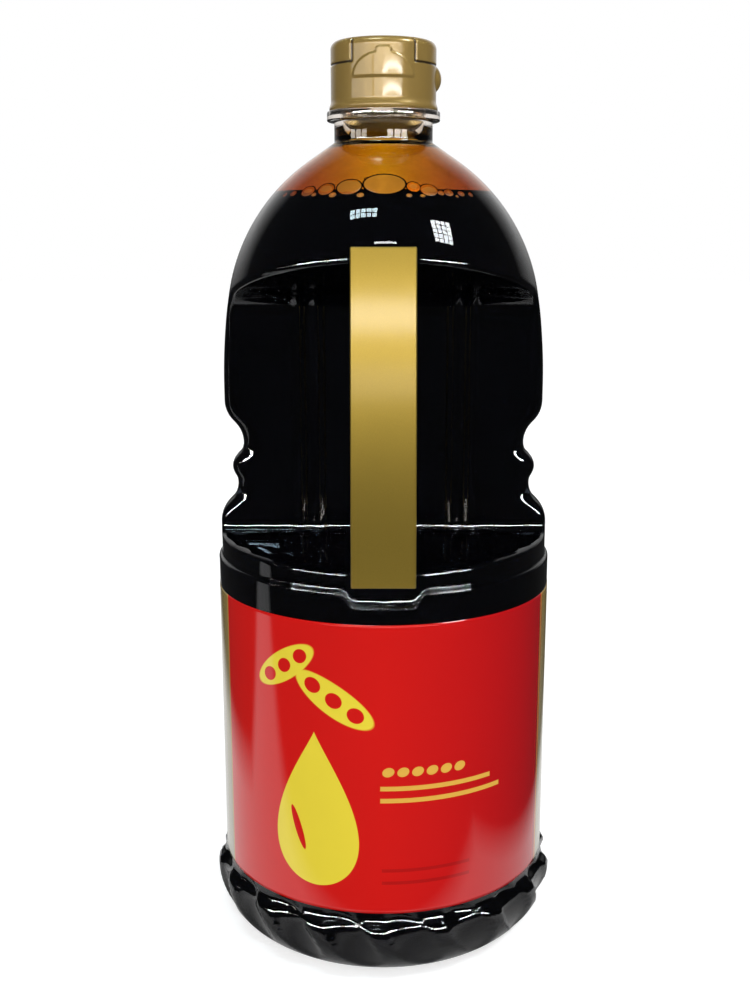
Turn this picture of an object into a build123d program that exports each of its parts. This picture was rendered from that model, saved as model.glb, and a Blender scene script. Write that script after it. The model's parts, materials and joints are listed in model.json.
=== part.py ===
"""A large soy sauce bottle with a waisted body, a grip recess, a strap handle and a gold cap.

The origin is the centre of the foot, +Z is up, and the handle is on the -Y side. Sizes are in
millimetres. The blown body is one function of an inset: the outside has an inset of nothing, and
the inside an inset of one wall, so the shell and the sauce inside it always fit each other.
"""

from build123d import *

import os

# Wall of the blown body, and how far a cut reaches past it
wall = 0.8
overshoot = 20.0

# Radii of the body: the label panel drives the rest
panel_radius = 55.5
heel_proud = 3.5
foot_set_in = 12.2
foot_width = 5.2
ledge_step = 0.3
lower_groove_depth = 6.9
waist_ring_depth = 5.2
barrel_set_in = 3.0
upper_groove_depth = 6.0
knee_set_in = 2.6
crown_radius = 23.9
neck_radius = 15.6

# Heights of the body, each a rise from the one before it
heel_height = 17.2
panel_rise = 6.2
label_gap = 0.9
label_height = 94.9
ledge_rise = 8.9
shoulder_rise = 11.8
lower_groove_rise = 12.6
waist_ring_rise = 5.4
upper_groove_rise = 8.0
barrel_rise = 17.1
barrel_height = 2.1
knee_rise = 30.2
crown_rise = 40.5
neck_rise = 5.7
push_up = 6.2

# Scoops round the heel
flute_count = 18
flute_radius = 40.0
flute_depth = 1.5
flute_length = 50.0
flute_drop = 1.7
flute_lean = 38.0

# Neck finish
neck_wall = 2.0
neck_height = 6.4
support_ring_proud = 2.3
support_ring_thickness = 3.1
finish_height = 18.5

# Grip recess
grip_wall = 8.3
grip_floor_rise = 6.6
grip_roof_drop = 2.1
grip_roof_slant = 13.8
grip_corner = 6.2
rib_places = (-27.4, -21.4, 22.8, 28.4)
rib_radius = 1.8
rib_proud = 1.0

# Strap handle, its pockets and the shallow seat under its lower end
handle_width = 19.3
handle_thickness = 3.1
handle_top_rise = 2.8
handle_bottom_rise = 2.5
handle_top_set_in = 6.1
handle_middle_proud = 2.6
handle_bottom_proud = 0.2
handle_foot_depth = 6.8
handle_foot_height = 7.0
handle_clearance = 0.15
seat_drop = 4.3
seat_bottom_play = 0.3
seat_top_play = 2.5
seat_depth = 0.8

# Label sleeve
label_thickness = 0.12

# Cap
cap_wall = 0.8
cap_height = 20.8
cap_top_round = 2.2
cap_clearance = 0.2
bead_proud = 0.5
bead_height = 3.0
arch_half_width = 10.2
arch_height = 7.4
arch_drop = 11.8
arch_proud = 0.35
nub_width = 5.0
nub_height = 2.4
bump_radius = 5.2
bump_proud = 1.6
bump_drop = 11.0
slit_width = 0.6
slit_depth = 0.4
slit_angle = 36.0
lid_drop = 7.2

# Contents
headspace = 15.4

# Radii worked out from those above
heel_radius = panel_radius + heel_proud
foot_radius = heel_radius - foot_set_in
foot_inner_radius = foot_radius - foot_width
barrel_radius = panel_radius - barrel_set_in
band_radius = panel_radius - ledge_step
bore_radius = neck_radius - neck_wall
support_ring_radius = neck_radius + support_ring_proud
cap_bore_radius = neck_radius + cap_clearance
cap_radius = cap_bore_radius + cap_wall

# Heights worked out from those above
panel_bottom = heel_height + panel_rise
label_bottom = panel_bottom + label_gap
label_top = label_bottom + label_height
ledge_height = label_top + ledge_rise
shoulder_height = ledge_height + shoulder_rise
lower_groove_height = shoulder_height + lower_groove_rise
waist_ring_height = lower_groove_height + waist_ring_rise
upper_groove_height = waist_ring_height + upper_groove_rise
barrel_bottom = upper_groove_height + barrel_rise
barrel_top = barrel_bottom + barrel_height
knee_height = barrel_top + knee_rise
crown_height = knee_height + crown_rise
neck_base = crown_height + neck_rise
support_ring_bottom = neck_base + neck_height
cap_bottom = support_ring_bottom + support_ring_thickness
finish_top = cap_bottom + finish_height
cap_top = cap_bottom + cap_height
sauce_level = neck_base - headspace

# The grip recess runs from the shoulder to the dome's knee, and the handle's ends pass its edges
grip_floor_back = shoulder_height
grip_floor_front = ledge_height + grip_floor_rise
grip_roof_back = knee_height - grip_roof_drop
grip_roof_front = grip_roof_back + grip_roof_slant
handle_top = grip_roof_front + handle_top_rise
handle_bottom = ledge_height + handle_bottom_rise
handle_top_reach = barrel_radius - handle_top_set_in
handle_middle_reach = barrel_radius + handle_middle_proud
handle_bottom_reach = panel_radius + handle_bottom_proud
seat_bottom = ledge_height - seat_drop
seat_bottom_half = handle_width / 2 - seat_bottom_play
seat_top_half = handle_width / 2 + seat_top_play

# Places on the cap, counted down from its top
lid_height = cap_top - lid_drop
arch_base = cap_top - arch_drop
bump_height = cap_top - bump_drop


def s_bend(start, end):
    """Two equal arcs with upright ends, from one radius of the body up to the next."""
    middle = ((start[0] + end[0]) / 2, (start[1] + end[1]) / 2)
    first = TangentArc(start, middle, tangent=(0, 1))
    TangentArc(middle, end, tangent=first % 1)


def body_outline(inset):
    """Half of the body's outline, from the foot up to the crown, drawn inset by a wall."""
    foot_edge = (foot_radius, inset)
    foot_ring = (foot_inner_radius, inset)
    foot_middle = (0, push_up + inset)
    heel = (heel_radius - inset, heel_height)
    panel_start = (panel_radius - inset, panel_bottom)
    ledge = (panel_radius - inset, ledge_height)
    band = (band_radius - inset, ledge_height + ledge_step)
    shoulder = (band_radius - inset, shoulder_height)
    lower_groove = (panel_radius - lower_groove_depth - inset, lower_groove_height)
    waist_ring = (panel_radius - waist_ring_depth - inset, waist_ring_height)
    upper_groove = (barrel_radius - upper_groove_depth - inset, upper_groove_height)
    barrel_start = (barrel_radius - inset, barrel_bottom)
    barrel_end = (barrel_radius - inset, barrel_top)
    knee = (barrel_radius - knee_set_in - inset, knee_height)
    crown = (crown_radius - inset / 2, crown_height - inset)
    peak = (neck_radius - inset / 2, neck_base - inset)
    TangentArc(heel, foot_edge, tangent=(0, -1))
    s_bend(heel, panel_start)
    Polyline(panel_start, ledge, band, shoulder)
    s_bend(shoulder, lower_groove)
    s_bend(lower_groove, waist_ring)
    s_bend(waist_ring, upper_groove)
    s_bend(upper_groove, barrel_start)
    Line(barrel_start, barrel_end)
    lower_dome = TangentArc(barrel_end, knee, tangent=(0, 1))
    TangentArc(knee, crown, tangent=lower_dome % 1)
    Polyline(crown, peak, (0, neck_base - inset), foot_middle)
    TangentArc(foot_middle, foot_ring, tangent=(1, 0))
    Line(foot_ring, foot_edge)


def grip_outline(inset):
    """The grip recess seen from the side: its roof, its upright wall and its floor."""
    reach = heel_radius + overshoot
    rise = (grip_roof_front - grip_roof_back) / (barrel_radius - grip_wall)
    fall = (grip_floor_back - grip_floor_front) / (panel_radius - grip_wall)
    out = reach - grip_wall
    Polyline(
        (-grip_wall + inset, grip_floor_back - inset),
        (-grip_wall + inset, grip_roof_back + inset),
        (-reach, grip_roof_back + inset + rise * out),
        (-reach, grip_floor_back - inset - fall * out),
        close=True,
    )


def heel_flutes(inset):
    """Slanted scoops all round the heel, to be cut from the body."""
    reach = heel_radius - flute_depth + flute_radius
    with BuildPart() as flutes:
        with PolarLocations(reach, flute_count):
            with Locations((0, 0, heel_height - flute_drop)):
                Cylinder(flute_radius + inset, flute_length, rotation=(flute_lean, 0, 0))
    return flutes.part


def handle_pockets(inset):
    """The two sockets that take the handle's feet, to be cut from the body."""
    play = handle_clearance + inset
    height = handle_foot_height + 2 * play
    top_depth = handle_top_reach - handle_foot_depth - play
    bottom_depth = handle_bottom_reach - handle_foot_depth - play
    with BuildPart() as pockets:
        with BuildSketch(Plane.YZ):
            with Locations((-top_depth, handle_top - handle_foot_height - play)):
                Rectangle(overshoot, height, align=(Align.MAX, Align.MIN))
            with Locations((-bottom_depth, handle_bottom - play)):
                Rectangle(overshoot, height, align=(Align.MAX, Align.MIN))
        extrude(amount=handle_width / 2 + play, both=True)
    return pockets.part


def handle_seat(inset):
    """The shallow seat under the handle's lower end, wider at its top, to be cut from the body."""
    low_half = seat_bottom_half + inset
    top_half = seat_top_half + inset
    with BuildPart() as seat:
        with BuildSketch(Plane.XZ.offset(panel_radius - seat_depth - inset)):
            with BuildLine():
                Polyline(
                    (-low_half, seat_bottom - inset),
                    (low_half, seat_bottom - inset),
                    (top_half, ledge_height),
                    (top_half, grip_floor_back),
                    (-top_half, grip_floor_back),
                    (-top_half, ledge_height),
                    close=True,
                )
            make_face()
        extrude(amount=overshoot)
    return seat.part


def blown_body(inset):
    """The closed outside of the body, or with an inset of one wall its inside."""
    rib_height = grip_roof_back - grip_floor_back + 2 * inset
    rib_row = rib_radius - rib_proud - grip_wall
    with BuildPart() as body:
        with BuildSketch(Plane.XZ):
            with BuildLine():
                body_outline(inset)
            make_face()
        revolve(axis=Axis.Z)
        with BuildSketch(Plane.YZ) as recess:
            with BuildLine():
                grip_outline(inset)
            make_face()
            fillet(recess.vertices().group_by(Axis.X)[-1], grip_corner)
        extrude(amount=heel_radius + overshoot, both=True, mode=Mode.SUBTRACT)
        with BuildSketch(Plane.XY.offset(grip_floor_back - inset)):
            for place in rib_places:
                with Locations((place, rib_row)):
                    Circle(rib_radius - inset)
        extrude(amount=rib_height)
        add(handle_pockets(inset), mode=Mode.SUBTRACT)
        add(handle_seat(inset), mode=Mode.SUBTRACT)
        add(heel_flutes(inset), mode=Mode.SUBTRACT)
    return body.part


outside = blown_body(0)
inside = blown_body(wall)

# Shell of the bottle: the body, the neck finish and its support ring, with the bore through them
with BuildPart() as bottle:
    add(outside)
    add(inside, mode=Mode.SUBTRACT)
    with BuildSketch(Plane.XY.offset(neck_base - wall)):
        Circle(neck_radius)
    extrude(amount=finish_top - neck_base + wall)
    with BuildSketch(Plane.XY.offset(support_ring_bottom)):
        Circle(support_ring_radius)
    extrude(amount=support_ring_thickness)
    with BuildSketch(Plane.XY.offset(neck_base - 2 * wall)):
        Circle(bore_radius)
    extrude(amount=finish_top - neck_base + 3 * wall, mode=Mode.SUBTRACT)
bottle.part.label = "bottle"

# Sauce: fills the inside up to its level
with BuildPart() as sauce:
    add(inside)
    split(bisect_by=Plane.XY.offset(sauce_level), keep=Keep.BOTTOM)
sauce.part.label = "sauce"

# Label: a printed sleeve round the panel
with BuildPart() as label:
    with BuildSketch(Plane.XY.offset(label_bottom)):
        Circle(panel_radius + label_thickness)
        Circle(panel_radius, mode=Mode.SUBTRACT)
    extrude(amount=label_top - label_bottom)
label.part.label = "label"

# Handle: a bowed strap with a foot turned in at each end
with BuildPart() as handle:
    with BuildSketch(Plane.YZ):
        with BuildLine():
            top_front = (-handle_top_reach, handle_top)
            bottom_front = (-handle_bottom_reach, handle_bottom)
            middle_height = (handle_top + handle_bottom) / 2
            top_heel = (handle_foot_depth - handle_top_reach, handle_top)
            bottom_heel = (handle_foot_depth - handle_bottom_reach, handle_bottom)
            top_knee = (top_heel[0], handle_top - handle_foot_height)
            bottom_knee = (bottom_heel[0], handle_bottom + handle_foot_height)
            inner_top = (handle_thickness - handle_top_reach, top_knee[1])
            inner_middle = (handle_thickness - handle_middle_reach, middle_height)
            inner_bottom = (handle_thickness - handle_bottom_reach, bottom_knee[1])
            ThreePointArc(top_front, (-handle_middle_reach, middle_height), bottom_front)
            Polyline(bottom_front, bottom_heel, bottom_knee, inner_bottom)
            ThreePointArc(inner_bottom, inner_middle, inner_top)
            Polyline(inner_top, top_knee, top_heel, top_front)
        make_face()
    extrude(amount=handle_width / 2, both=True)
handle.part.label = "handle"

# Thumb panel: an arch with a nub on it, raised from the front of the cap
with BuildPart() as thumb_panel:
    with BuildSketch(Plane.XZ):
        with Locations((0, arch_base)):
            Ellipse(arch_half_width, arch_height)
            Rectangle(
                2 * arch_half_width,
                arch_height,
                align=(Align.CENTER, Align.MAX),
                mode=Mode.SUBTRACT,
            )
        with Locations((0, arch_base + arch_height)):
            SlotOverall(nub_width, nub_height)
    extrude(amount=cap_radius + arch_proud)
    Cylinder(cap_radius + arch_proud, 2 * cap_top, mode=Mode.INTERSECT)

# Cap: one gold moulding over the neck finish, its flip lid marked out by slits
line_start = slit_angle - 90
line_plane = Plane(
    origin=(0, 0, lid_height),
    x_dir=Vector(1, 0, 0).rotate(Axis.Z, line_start),
    z_dir=Vector(0, -1, 0).rotate(Axis.Z, line_start),
)
with BuildPart() as cap:
    with BuildSketch(Plane.XZ) as cap_section:
        with BuildLine():
            Polyline(
                (0, cap_bottom),
                (cap_radius + bead_proud, cap_bottom),
                (cap_radius, cap_bottom + bead_height),
                (cap_radius, cap_top),
                (0, cap_top),
                close=True,
            )
        make_face()
        fillet(cap_section.vertices().group_by(Axis.Y)[-1].sort_by(Axis.X)[-1], cap_top_round)
    revolve(axis=Axis.Z)
    add(thumb_panel.part)
    with Locations((cap_radius + bump_proud - bump_radius, 0, bump_height)):
        Sphere(bump_radius)
    with PolarLocations(cap_radius, 2, start_angle=-90 - slit_angle, angular_range=2 * slit_angle):
        with Locations((0, 0, lid_height)):
            Box(
                2 * slit_depth,
                slit_width,
                cap_height,
                align=(Align.CENTER, Align.CENTER, Align.MIN),
                mode=Mode.SUBTRACT,
            )
    with BuildSketch(line_plane):
        with Locations((cap_radius, 0)):
            Rectangle(2 * slit_depth, slit_width)
    revolve(axis=Axis.Z, revolution_arc=360 - 2 * slit_angle, mode=Mode.SUBTRACT)
    with BuildSketch(Plane.XY.offset(cap_bottom)):
        Circle(cap_bore_radius)
    extrude(amount=finish_top - cap_bottom, mode=Mode.SUBTRACT)
cap.part.label = "cap"

print("sauce litres", round(sauce.part.volume / 1e6, 3))
os.makedirs("parts", exist_ok=True)
for piece in (bottle, sauce, label, handle, cap):
    export_step(piece.part, f"parts/{piece.part.label}.step")
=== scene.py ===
# %% [markdown]
# # A large soy sauce bottle
# The bottle is a clear blown shell filled with a sauce that is nearly black, with a printed sleeve
# round its panel, a gold strap to lift it by and a gold flip cap. The construction is already
# there as a frame of plain solids. This lesson loads that frame and gives every part its finished
# surface, at the same place and size.

# %% Load the frame
import bpy
import bmesh
import json
import math
import numpy as np
from mathutils import Matrix, Vector

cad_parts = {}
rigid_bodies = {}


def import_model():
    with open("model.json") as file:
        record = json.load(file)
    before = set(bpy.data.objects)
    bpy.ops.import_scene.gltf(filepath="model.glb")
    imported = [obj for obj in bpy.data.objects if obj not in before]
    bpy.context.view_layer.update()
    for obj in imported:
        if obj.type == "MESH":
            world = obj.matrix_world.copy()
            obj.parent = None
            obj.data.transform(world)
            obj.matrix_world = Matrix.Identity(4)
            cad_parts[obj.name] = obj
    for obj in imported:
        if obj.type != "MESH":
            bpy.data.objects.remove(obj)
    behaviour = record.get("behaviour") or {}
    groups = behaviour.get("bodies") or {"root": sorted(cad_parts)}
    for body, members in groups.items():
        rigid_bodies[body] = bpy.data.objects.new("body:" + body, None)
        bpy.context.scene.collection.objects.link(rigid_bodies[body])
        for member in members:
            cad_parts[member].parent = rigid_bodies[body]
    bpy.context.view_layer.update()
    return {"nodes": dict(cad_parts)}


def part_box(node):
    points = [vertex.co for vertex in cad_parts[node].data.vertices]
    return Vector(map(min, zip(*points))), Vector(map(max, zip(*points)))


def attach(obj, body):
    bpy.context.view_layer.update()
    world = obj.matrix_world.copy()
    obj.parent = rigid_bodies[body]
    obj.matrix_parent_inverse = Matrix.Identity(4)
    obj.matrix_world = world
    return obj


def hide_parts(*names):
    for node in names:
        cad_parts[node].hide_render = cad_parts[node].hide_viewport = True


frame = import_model()
scene = bpy.context.scene
print("nodes:", sorted(frame["nodes"]))

# %% [markdown]
# ## Sizes
# Everything is in metres. The places of the label, cap, strap and sauce level are read from the
# frame. What the frame can't say, such as how far a groove goes in, is written here once, in
# thousandths of a metre.

# %% Sizes read from the frame
MM = 0.001
label_low, label_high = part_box("label")
cap_low, cap_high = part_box("cap")
handle_low, handle_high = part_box("handle")
sauce_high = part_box("sauce")[1]
bottle_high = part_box("bottle")[1]

label_radius = label_high.x
film_thickness = 0.12 * MM
panel_radius = label_radius - film_thickness
heel_radius = bottle_high.y - 0.32 * MM
barrel_radius = panel_radius - 3.0 * MM
sauce_level = sauce_high.z
cap_bottom = cap_low.z
cap_top = cap_high.z
finish_top = bottle_high.z
print("panel radius", round(panel_radius, 5), "sauce level", round(sauce_level, 5))

# %% Sizes of the blown body
foot_radius = heel_radius - 12.2 * MM
foot_inner_radius = foot_radius - 5.2 * MM
push_up = 6.2 * MM
heel_height = 17.2 * MM
panel_bottom = label_low.z - 0.9 * MM
ledge_height = label_high.z + 8.9 * MM
ledge_step = 1.1 * MM
band_radius = panel_radius - ledge_step
shoulder_height = ledge_height + 11.8 * MM
lower_groove = (panel_radius - 6.9 * MM, shoulder_height + 12.6 * MM)
waist_ring = (panel_radius - 5.2 * MM, lower_groove[1] + 5.4 * MM)
upper_groove = (barrel_radius - 6.0 * MM, waist_ring[1] + 8.0 * MM)
barrel_bottom = upper_groove[1] + 13.9 * MM
barrel_top = upper_groove[1] + 19.2 * MM
knee = (barrel_radius - 2.6 * MM, barrel_top + 30.2 * MM)
crown = (23.9 * MM, knee[1] + 40.5 * MM)
neck_radius = 15.6 * MM
neck_base = crown[1] + 5.7 * MM
ring_radius = neck_radius + 2.3 * MM
ring_bottom = cap_bottom - 3.1 * MM
bore_radius = 13.6 * MM
wall = 0.8 * MM
print("neck base", round(neck_base, 5), "ledge", round(ledge_height, 5))

# %% [markdown]
# ## The outline of the body
# A blown bottle is a solid of revolution first. Its outline is made of arcs that meet without a
# kink, so each stretch is a formula that gives the radius at a height. The rows of points are
# closer together where the body bends sharply or where the grip recess will be pressed in.

# %% Radius of the body at a height
def bend(height, start, end):
    """Radius on two equal arcs with upright ends, between two (radius, height) points."""
    across, rise = abs(end[0] - start[0]) / 2, (end[1] - start[1]) / 2
    curve = (across**2 + rise**2) / (2 * across)
    way = math.copysign(1, end[0] - start[0])
    up = height - start[1]
    if up <= rise:
        return start[0] + way * (curve - math.sqrt(curve**2 - up**2))
    return end[0] - way * (curve - math.sqrt(curve**2 - (2 * rise - up) ** 2))


def dome_arcs():
    """Radii and centres of the dome's two arcs, which meet tangent at the knee."""
    across, rise = barrel_radius - knee[0], knee[1] - barrel_top
    low = (across**2 + rise**2) / (2 * across)
    tilt = math.asin(rise / low)
    inward = (-math.cos(tilt), -math.sin(tilt))
    step = (crown[0] - knee[0], crown[1] - knee[1])
    toward = step[0] * inward[0] + step[1] * inward[1]
    high = (step[0] ** 2 + step[1] ** 2) / (2 * toward)
    centre = (knee[0] + inward[0] * high, knee[1] + inward[1] * high)
    return low, high, centre


lower_arc, upper_arc, upper_centre = dome_arcs()
heel_arc = (((heel_radius - foot_radius) ** 2) + heel_height**2) / (2 * (heel_radius - foot_radius))


def body_radius(z):
    """Radius of the blown body at height z, before the recess and the scoops."""
    if z <= heel_height:
        return heel_radius - heel_arc + math.sqrt(heel_arc**2 - (heel_height - z) ** 2)
    if z <= panel_bottom:
        return bend(z, (heel_radius, heel_height), (panel_radius, panel_bottom))
    if z <= ledge_height:
        return panel_radius
    if z < ledge_height + ledge_step:
        return band_radius + math.sqrt(max(0, ledge_step**2 - (z - ledge_height) ** 2))
    if z <= shoulder_height:
        return band_radius
    if z <= lower_groove[1]:
        return bend(z, (band_radius, shoulder_height), lower_groove)
    if z <= waist_ring[1]:
        return bend(z, lower_groove, waist_ring)
    if z <= upper_groove[1]:
        return bend(z, waist_ring, upper_groove)
    if z <= barrel_bottom:
        return bend(z, upper_groove, (barrel_radius, barrel_bottom))
    if z <= barrel_top:
        return barrel_radius
    if z <= knee[1]:
        return barrel_radius - lower_arc + math.sqrt(lower_arc**2 - (z - barrel_top) ** 2)
    if z <= crown[1]:
        return upper_centre[0] + math.sqrt(upper_arc**2 - (z - upper_centre[1]) ** 2)
    share = min(1, (z - crown[1]) / (neck_base - crown[1]))
    return crown[0] + share * (neck_radius - crown[0])


print("radius at the waist ring", round(body_radius(waist_ring[1]), 5))

# %% Heights of the rows
grip_floor_back = shoulder_height - 3.3 * MM
grip_floor_front = ledge_height + 6.6 * MM
grip_roof_back = knee[1] - 2.1 * MM
grip_roof_front = grip_roof_back + 13.8 * MM
fine, medium, coarse = 0.36 * MM, 0.9 * MM, 1.5 * MM

# Each stretch goes from the height before it to this one, in steps of about this size
row_stretches = (
    (panel_bottom, 0.6 * MM),
    (label_low.z, medium),
    (label_high.z, 12 * MM),
    (ledge_height - 0.4 * MM, coarse),
    (ledge_height + ledge_step, 0.1 * MM),
    (grip_floor_front - 3.5 * MM, medium),
    (grip_floor_back + 1.2 * MM, fine),
    (grip_floor_back + 8.0 * MM, medium),
    (barrel_bottom, 1.2 * MM),
    (grip_roof_back - 7.0 * MM, 2.2 * MM),
    (grip_roof_front + 5.0 * MM, 0.7 * MM),
    (neck_base, coarse),
)


def row_heights(stretches, start=0.0):
    """Heights from start upwards, evenly spaced in each stretch."""
    heights = [start]
    for end, step in stretches:
        begin = heights[-1]
        count = max(1, round((end - begin) / step))
        heights += [begin + (end - begin) * (i + 1) / count for i in range(count)]
    return heights


body_rows = row_heights(row_stretches)
print(len(body_rows), "rows up the body")

# %% [markdown]
# ## Pressing the grip recess into the body
# The recess is a wide pocket in the front: an upright wall, a floor that falls towards the front
# and a roof that climbs towards it. A Boolean cut would leave hard edges. Here each point of the
# spun surface slides straight back until it meets the pressed form, which is worked out as a
# distance: negative inside the body, positive outside. Two distances joined with a round give
# edges and corners with a true radius, and a surface set in by a wall is simply where the
# distance is minus one wall.

# %% Distance to the pressed body
grip_wall = 8.3 * MM
roof_corner = 6.2 * MM
floor_corner = 2.6 * MM
edge_round = 5.5 * MM
floor_edge_round = 1.0 * MM
roof_edge_round = 1.6 * MM
edge_fade = 12 * MM
rib_places = (-27.4 * MM, -21.4 * MM, 22.8 * MM, 28.4 * MM)
rib_radius, rib_proud = 1.9 * MM, 1.1 * MM
roof_slope = (grip_roof_front - grip_roof_back) / (barrel_radius - grip_wall)
floor_slope = (grip_floor_back - grip_floor_front) / (panel_radius - grip_wall)


def round_meet(a, b, radius):
    """Distance to what lies within both a and b, with their shared edge rounded."""
    corner = np.hypot(np.maximum(a + radius, 0), np.maximum(b + radius, 0))
    return np.minimum(np.maximum(a, b), -radius) + corner


def rib_height(x):
    """How far the upright ribs stand out of the recess wall at x."""
    proud = np.zeros_like(x)
    for place in rib_places:
        inside = np.clip(1 - ((x - place) / rib_radius) ** 2, 0, 1)
        proud = np.maximum(proud, rib_proud * inside**1.5)
    return proud


def pressed_distance(x, y, z, radius):
    """Distance to the body with its recess, for points at x, y, z where the body has that radius."""
    body = np.hypot(x, y) - radius
    wall_side = y + grip_wall + rib_height(x)
    ahead = -grip_wall - y
    floor_side = (grip_floor_back - floor_slope * ahead - z) / math.hypot(1, floor_slope)
    roof_side = (z - grip_roof_back - roof_slope * ahead) / math.hypot(1, roof_slope)
    air = round_meet(wall_side, floor_side, floor_corner)
    air = round_meet(air, roof_side, roof_corner)
    low = np.clip((grip_floor_back + edge_fade - z) / edge_fade, 0, 1)
    high = np.clip((z - grip_roof_back + edge_fade) / edge_fade, 0, 1)
    edge = edge_round + low * (floor_edge_round - edge_round) + high * (roof_edge_round - edge_round)
    return round_meet(body, -air, edge)


halvings = 36


def press_recess(points, radii, inset):
    """Slides the front points straight back until they lie on the pressed form, set in by inset.

    The place is found by halving the way to the axis again and again.
    """
    x, z = points[:, 0], points[:, 2]
    front = (points[:, 1] < 0) & (z > ledge_height + 1.2 * MM) & (z < grip_roof_front + 4 * MM)
    near, far = points[:, 1].copy(), np.zeros(len(points))
    for _ in range(halvings):
        middle = (near + far) / 2
        outside = pressed_distance(x, middle, z, radii) > -inset
        near = np.where(outside, middle, near)
        far = np.where(outside, far, middle)
    points[front, 1] = far[front]


print("roof climbs", round(math.degrees(math.atan(roof_slope)), 1), "degrees")

# %% [markdown]
# ## Scoops round the heel, and the seat under the strap
# The heel has eighteen slanted scoops that stiffen it. Each is an oval hollow, so the points move
# towards the axis by how deep they lie in the oval. Under the strap's lower end the ledge dips,
# so the rows by the ledge slide down there.

# %% Scoops and seat as moves
flute_count = 18
flute_depth = 2.3 * MM
flute_centre = 14.6 * MM
flute_lean = math.radians(48)
flute_half_long, flute_half_wide = 12.5 * MM, 6.2 * MM


def press_flutes(points):
    """Moves the heel's points towards the axis inside the slanted ovals."""
    z = points[:, 2]
    heel = z < panel_bottom + 1 * MM
    angle = np.arctan2(points[:, 1], points[:, 0])
    pitch = 2 * math.pi / flute_count
    offset = (angle / pitch - np.round(angle / pitch)) * pitch * heel_radius
    depth = np.zeros(len(points))
    for shift in (-1, 0, 1):
        across = offset + shift * pitch * heel_radius
        along_way = across * math.cos(flute_lean) - (z - flute_centre) * math.sin(flute_lean)
        side_way = across * math.sin(flute_lean) + (z - flute_centre) * math.cos(flute_lean)
        oval = 1 - (along_way / flute_half_long) ** 2 - (side_way / flute_half_wide) ** 2
        depth = np.maximum(depth, flute_depth * np.clip(oval, 0, 1) ** 0.6)
    radius = np.maximum(np.hypot(points[:, 0], points[:, 1]), 1 * MM)
    scale = 1 - np.where(heel, depth, 0) / radius
    points[:, 0] *= scale
    points[:, 1] *= scale


handle_half = (handle_high.x - handle_low.x) / 2
seat_bottom_half = handle_half - 0.3 * MM
seat_top_half = handle_half + 2.5 * MM
seat_drop = 4.3 * MM
seat_depth = 0.8 * MM


def press_seat(points):
    """Dips the ledge under the strap's lower end and sets the body in above it."""
    z, across = points[:, 2], np.abs(points[:, 0])
    share = np.clip((seat_top_half - across) / (seat_top_half - seat_bottom_half), 0, 1)
    share = np.where(points[:, 1] < 0, share, 0)
    rising = np.clip((z - label_high.z - 0.5 * MM) / (ledge_height - label_high.z - 2 * MM), 0, 1)
    fading = np.clip((grip_floor_front - 3 * MM - z) / (grip_floor_front - ledge_height - 4.5 * MM), 0, 1)
    above = np.clip((z - ledge_height) / (0.4 * MM), 0, 1) * fading
    points[:, 1] += (seat_depth - ledge_step) * share * above
    points[:, 2] -= seat_drop * share * rising * fading


print(flute_count, "scoops, seat", round(2 * seat_bottom_half, 4), "wide")

# %% [markdown]
# ## Spinning a skin
# The outside of the shell, its inside and the sauce are the same form at three insets, so one
# function makes them all. It draws the outline, spins it with one operator and then presses the
# recess, the scoops and the seat into it.

# %% Helpers for meshes
def polyline(bm, outline):
    """Adds a chain of vertices and edges in the XZ plane from (radius, height) points."""
    verts = [bm.verts.new((radius, 0, height)) for radius, height in outline]
    edges = [bm.edges.new(pair) for pair in zip(verts, verts[1:])]
    return verts, edges


def spin_outline(bm, outline, steps):
    """Spins an outline all the way round the Z axis and closes its poles."""
    verts, edges = polyline(bm, outline)
    bmesh.ops.spin(
        bm, geom=verts + edges, cent=(0, 0, 0), axis=(0, 0, 1), dvec=(0, 0, 0),
        angle=2 * math.pi, steps=steps, use_merge=True, use_duplicate=False,
    )
    bmesh.ops.remove_doubles(bm, verts=bm.verts[:], dist=1e-7)


def finish_piece(bm, name, smooth=True):
    """Turns a bmesh into a piece of the bottle that rides on its body."""
    mesh = bpy.data.meshes.new(name)
    for face in bm.faces:
        face.smooth = smooth
    bm.to_mesh(mesh)
    bm.free()
    piece = bpy.data.objects.new(name, mesh)
    scene.collection.objects.link(piece)
    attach(piece, "root")
    print(name, len(mesh.vertices), "points,", len(mesh.polygons), "faces")
    return piece


# %% Skin of the body at an inset
columns = 288


def foot_outline(inset):
    """The push-up and the foot ring, from the axis outwards."""
    curve = (foot_inner_radius**2 + push_up**2) / (2 * push_up)
    radii = [foot_inner_radius * i / 8 for i in range(9)]
    dome = [(r, push_up + inset - curve + math.sqrt(curve**2 - r**2)) for r in radii]
    return dome + [(foot_radius - 1.2 * MM - inset, inset)]


def press_all(bm, inset):
    """Presses the recess, the scoops and the seat into a freshly spun skin."""
    points = np.array([v.co[:] for v in bm.verts])
    radii = np.array([body_radius(min(max(z, 0), neck_base)) for z in points[:, 2]])
    press_recess(points, radii, inset)
    press_seat(points)
    press_flutes(points)
    for vert, point in zip(bm.verts, points):
        vert.co = point


def spun_skin(outline, inset, inward=False):
    """A mesh of an outline spun and pressed, its faces turned inwards if it is an inner wall."""
    bm = bmesh.new()
    spin_outline(bm, outline, columns)
    press_all(bm, inset)
    bmesh.ops.recalc_face_normals(bm, faces=bm.faces[:])
    if inward:
        bmesh.ops.reverse_faces(bm, faces=bm.faces[:])
    mesh = bpy.data.meshes.new("skin")
    bm.to_mesh(mesh)
    bm.free()
    return mesh


print(columns, "columns")

# %% [markdown]
# ## The clear shell
# The shell is blown plastic less than a millimetre thick. Only above the sauce can anyone see its
# inner wall, so the outside gets the fine rows and the inside far fewer. The two are joined at
# the lip of the neck, which makes the shell one closed wall. Its inner faces look at the hollow:
# if they pointed the other way, light would bend as if the hollow were solid plastic.

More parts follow.
